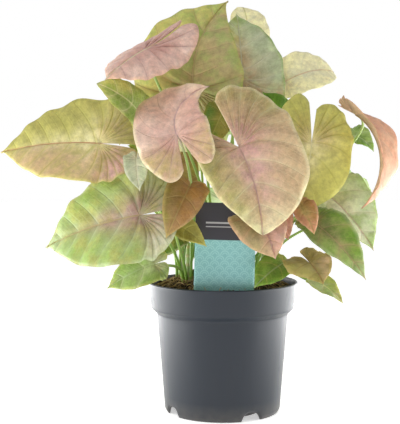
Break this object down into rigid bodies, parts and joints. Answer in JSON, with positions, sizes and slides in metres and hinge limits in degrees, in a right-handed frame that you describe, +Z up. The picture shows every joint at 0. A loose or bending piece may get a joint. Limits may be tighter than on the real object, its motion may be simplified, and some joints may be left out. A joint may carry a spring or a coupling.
{
  "type": "potted arrowhead plant",
  "caption": "Arrowhead plant with pink, olive and green arrow-shaped leaves on long stalks, growing from soil in a round tapered nursery pot that holds a blank plant label.",
  "frame": {"origin": "middle of the pot's flat underside, on the surface the pot stands on", "axes": "+Z up along the pot's axis, -Y towards the plant's front, where the label stands"},
  "size_m": [0.309, 0.2365, 0.3283],
  "materials": {
    "pot": "satin",
    "soil": "crumbly, matt",
    "label": "satin",
    "stem": "soft sheen",
    "olive": "soft sheen",
    "green": "soft sheen",
    "pink": "soft sheen",
    "pale": "soft sheen",
    "cream": "soft sheen",
    "rust": "soft sheen",
    "deep": "soft sheen"
  },
  "bodies": {
    "root": {"pot": "pot", "soil": "soil", "label": "label", "stem_front_left": "stem", "stem_front_right": "stem", "stem_left": "stem", "stem_right": "stem", "stem_middle": "stem", "stem_back_left": "stem", "stem_back_right": "stem", "leaf_left_large": "olive", "leaf_left_curled": "green", "leaf_pink_top": "pink", "leaf_top_centre": "olive", "leaf_grey_top": "pale", "leaf_back_pale_top": "cream", "leaf_back_pale_right": "cream", "leaf_pink_centre": "pink", "leaf_big_centre": "olive", "leaf_right_olive": "olive", "leaf_right_curl": "pink", "leaf_right_back_green": "green", "leaf_right_pale": "pale", "leaf_right_green": "green", "leaf_right_small": "olive", "leaf_right_low": "green", "leaf_right_tip": "green", "leaf_pink_low": "pink", "leaf_salmon": "rust", "leaf_orange_tip": "rust", "leaf_left_green": "green", "leaf_left_pale": "pale", "leaf_left_low": "green", "leaf_orange_centre": "rust", "leaf_low_olive": "olive", "leaf_dark_centre": "deep", "leaf_inner_green": "deep", "leaf_dark_upper": "deep", "leaf_low_dark": "deep", "leaf_lime_small": "green", "leaf_back_1": "olive", "leaf_back_2": "green", "leaf_back_3": "olive", "leaf_back_4": "green", "leaf_back_5": "green", "leaf_back_6": "green"}
  },
  "joints": []
}
